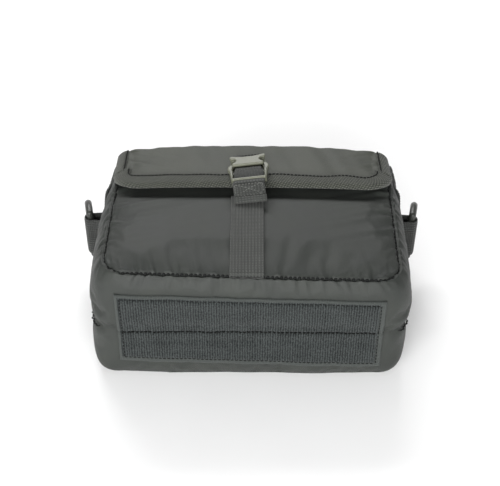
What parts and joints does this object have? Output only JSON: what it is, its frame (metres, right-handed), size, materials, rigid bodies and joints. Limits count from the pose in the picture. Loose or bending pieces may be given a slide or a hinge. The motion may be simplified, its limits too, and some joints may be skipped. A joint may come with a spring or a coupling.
{
  "type": "camera bag",
  "caption": "Small padded camera bag with a fold-over flap, a front webbing strap with a side-release buckle, a loop panel on its bottom, side rings and movable dividers inside.",
  "frame": {"origin": "middle of the surface that the bag rests on when it lies on its back", "axes": "+X along the bag's width, +Y from its bottom to its mouth, +Z from its back out of its front; it stands upright when turned so that +Y points up"},
  "size_m": [0.2896, 0.1642, 0.1278],
  "materials": {
    "shell_nylon": "quilted woven nylon, dark grey, slightly glossy",
    "lining_fabric": "brushed loop lining, dark grey",
    "foam": "closed-cell foam, plain",
    "board": "plain sheet",
    "webbing": "woven webbing, matte",
    "binding_tape": "ribbed binding tape, matte",
    "loop_fastener": "knitted loop face, fuzzy",
    "hook_tape": "moulded hook tape",
    "buckle_plastic": "satin moulded plastic, grey-green",
    "ring_plastic": "satin moulded plastic, dark grey"
  },
  "bodies": {
    "bag_body": {"front_panel": "shell_nylon", "back_panel": "shell_nylon", "gusset_bottom": "shell_nylon", "gusset_left": "shell_nylon", "gusset_right": "shell_nylon", "foam_front": "foam", "foam_back": "foam", "foam_bottom": "foam", "foam_left": "foam", "foam_right": "foam", "bottom_board": "board", "lining_front": "lining_fabric", "lining_back": "lining_fabric", "lining_bottom": "lining_fabric", "lining_left": "lining_fabric", "lining_right": "lining_fabric", "mouth_binding": "binding_tape", "loop_panel": "loop_fastener", "side_patch_left": "webbing", "side_patch_right": "webbing", "ring_tab_left": "webbing", "ring_tab_right": "webbing"},
    "flap_top": {"flap_top_panel": "shell_nylon", "flap_top_foam": "foam", "flap_top_lining": "lining_fabric", "flap_top_binding": "binding_tape"},
    "flap_front": {"flap_front_panel": "shell_nylon", "flap_front_foam": "foam", "flap_front_lining": "lining_fabric", "flap_front_binding": "binding_tape", "flap_side_binding": "binding_tape", "buckle_chape": "webbing", "buckle_socket": "buckle_plastic"},
    "strap": {"front_strap": "webbing"},
    "plug": {"buckle_plug": "buckle_plastic", "strap_tail": "webbing"},
    "prong_left": {"plug_prong_left": "buckle_plastic"},
    "prong_right": {"plug_prong_right": "buckle_plastic"},
    "swing_ring_left": {"ring_left": "ring_plastic"},
    "swing_ring_right": {"ring_right": "ring_plastic"},
    "divider_left_pad": {"divider_left": "lining_fabric", "divider_left_tapes": "hook_tape"},
    "divider_right_pad": {"divider_right": "lining_fabric", "divider_right_tapes": "hook_tape"}
  },
  "joints": [
    {"name": "flap_open", "type": "hinge", "parent": "bag_body", "child": "flap_top", "pos_m": [0, 0.0762, 0.0054], "axis": [-1, 0, 0], "range_deg": [0, 90]},
    {"name": "flap_fold", "type": "hinge", "parent": "flap_top", "child": "flap_front", "pos_m": [0, 0.0804, 0.1067], "axis": [-1, 0, 0], "range_deg": [0, 60.1]},
    {"name": "strap_lift", "type": "hinge", "parent": "bag_body", "child": "strap", "pos_m": [-0.002, -0.075, 0.1052], "axis": [1, 0, 0], "range_deg": [0, 120.1]},
    {"name": "plug_pull", "type": "slide", "parent": "strap", "child": "plug", "axis": [0.0454, -0.9969, 0.0648], "range_m": [0, 0.025]},
    {"name": "prong_left_squeeze", "type": "hinge", "parent": "plug", "child": "prong_left", "pos_m": [-0.01394, 0.02915, 0.1208], "axis": [0.1076, -0.0596, -0.9924], "range_deg": [0, 20], "stiffness_Nm_per_rad": 0.05, "deforming": ["plug_prong_left"]},
    {"name": "prong_right_squeeze", "type": "hinge", "parent": "plug", "child": "prong_right", "pos_m": [0.0091, 0.03035, 0.12322], "axis": [-0.1076, 0.0596, 0.9924], "range_deg": [0, 20], "stiffness_Nm_per_rad": 0.05, "deforming": ["plug_prong_right"]},
    {"name": "ring_left_swing", "type": "hinge", "parent": "bag_body", "child": "swing_ring_left", "pos_m": [-0.136, 0.03, 0.0525], "axis": [0, 0, 1], "range_deg": [0, 137]},
    {"name": "ring_right_swing", "type": "hinge", "parent": "bag_body", "child": "swing_ring_right", "pos_m": [0.136, 0.03, 0.0525], "axis": [0, 0, -1], "range_deg": [0, 137]},
    {"name": "divider_left_shift", "type": "slide", "parent": "bag_body", "child": "divider_left_pad", "axis": [1, 0, 0], "range_m": [-0.012, 0.012]},
    {"name": "divider_right_shift", "type": "slide", "parent": "bag_body", "child": "divider_right_pad", "axis": [1, 0, 0], "range_m": [-0.012, 0.012]}
  ],
  "couplings": [
    {"joint": "flap_fold", "follows": "flap_open", "ratio": 0.6667},
    {"joint": "strap_lift", "follows": "flap_open", "ratio": 1.3333}
  ]
}
